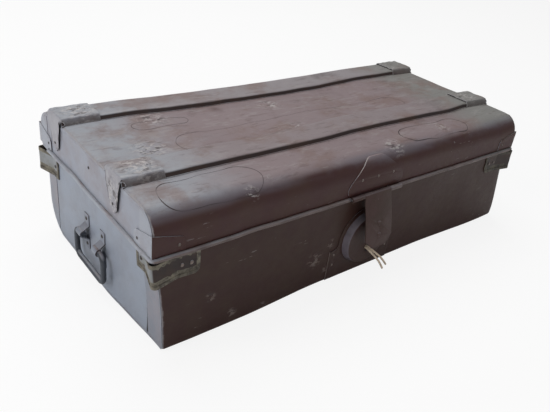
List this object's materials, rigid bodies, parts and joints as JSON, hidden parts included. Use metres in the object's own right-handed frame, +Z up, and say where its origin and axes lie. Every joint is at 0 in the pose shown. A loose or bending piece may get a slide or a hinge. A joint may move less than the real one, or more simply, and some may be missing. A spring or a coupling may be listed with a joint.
{
  "type": "tin trunk",
  "caption": "Small riveted sheet-metal trunk with a hinged lid, lengthwise battens, corner guards, a hasp lock and bail handles on the ends.",
  "frame": {"origin": "middle of the underside, in the plane that the trunk stands on", "axes": "+X along the length, -Y out of the front with the hasp, +Z up"},
  "size_m": [0.6144, 0.3142, 0.1773],
  "materials": {
    "lid_sheet": "worn dark reddish brown paint on tinned sheet",
    "base_sheet": "worn dark reddish brown paint",
    "end_sheet": "faded blue grey paint",
    "batten_sheet": "worn paint on pressed sheet",
    "fitting_paint": "dark reddish brown paint over pressed steel fittings",
    "fitting_brass": "tarnished brassed steel",
    "bail_steel": "dull steel rod",
    "pin_steel": "steel wire",
    "rivet_steel": "tarnished rivets",
    "twine": "pale twisted twine"
  },
  "bodies": {
    "base": {"base_end_left": "end_sheet", "base_end_right": "end_sheet", "base_guard_front_left": "fitting_brass", "base_guard_front_right": "fitting_brass", "base_guard_rear_left": "fitting_brass", "base_guard_rear_right": "fitting_brass", "base_rivets": "rivet_steel", "base_wrap": "base_sheet", "handle_saddles_left": "fitting_brass", "handle_saddles_right": "fitting_brass", "hinge_base_leaves": "fitting_brass", "lock_boss": "fitting_paint", "lock_guides": "pin_steel", "lock_plate": "fitting_paint", "twine_knot": "twine", "twine_long": "twine", "twine_short": "twine"},
    "lid": {"batten_cap_front_left": "fitting_brass", "batten_cap_front_right": "fitting_brass", "batten_cap_rear_left": "fitting_brass", "batten_cap_rear_right": "fitting_brass", "batten_front": "batten_sheet", "batten_rear": "batten_sheet", "hasp_pin": "pin_steel", "hasp_plate": "fitting_paint", "hinge_lid_leaves": "fitting_brass", "hinge_pins": "pin_steel", "lid_corner_plate_front_left": "fitting_paint", "lid_corner_plate_front_right": "fitting_paint", "lid_corner_plate_rear_left": "fitting_paint", "lid_corner_plate_rear_right": "fitting_paint", "lid_edge_wire": "pin_steel", "lid_end_left": "end_sheet", "lid_end_right": "end_sheet", "lid_rivets": "rivet_steel", "lid_wrap": "lid_sheet"},
    "hasp": {"hasp_strap": "fitting_paint", "hasp_staple": "fitting_brass"},
    "handle_left": {"handle_left": "bail_steel"},
    "handle_right": {"handle_right": "bail_steel"},
    "lock_bolt": {"lock_bolt": "pin_steel"}
  },
  "joints": [
    {"name": "lid_hinge", "type": "hinge", "parent": "base", "child": "lid", "pos_m": [0, 0.1435, 0.114], "axis": [-1, 0, 0], "range_deg": [0, 110]},
    {"name": "hasp_hinge", "type": "hinge", "parent": "lid", "child": "hasp", "pos_m": [0, -0.1466, 0.12], "axis": [-1, 0, 0], "range_deg": [-13.5, 150]},
    {"name": "handle_left_hinge", "type": "hinge", "parent": "base", "child": "handle_left", "pos_m": [-0.3024, 0, 0.058], "axis": [0, 1, 0], "range_deg": [-6, 180]},
    {"name": "handle_right_hinge", "type": "hinge", "parent": "base", "child": "handle_right", "pos_m": [0.3024, 0, 0.058], "axis": [0, -1, 0], "range_deg": [-6, 180]},
    {"name": "lock_bolt_slide", "type": "slide", "parent": "base", "child": "lock_bolt", "axis": [-1, 0, 0], "range_m": [0, 0.009]}
  ]
}
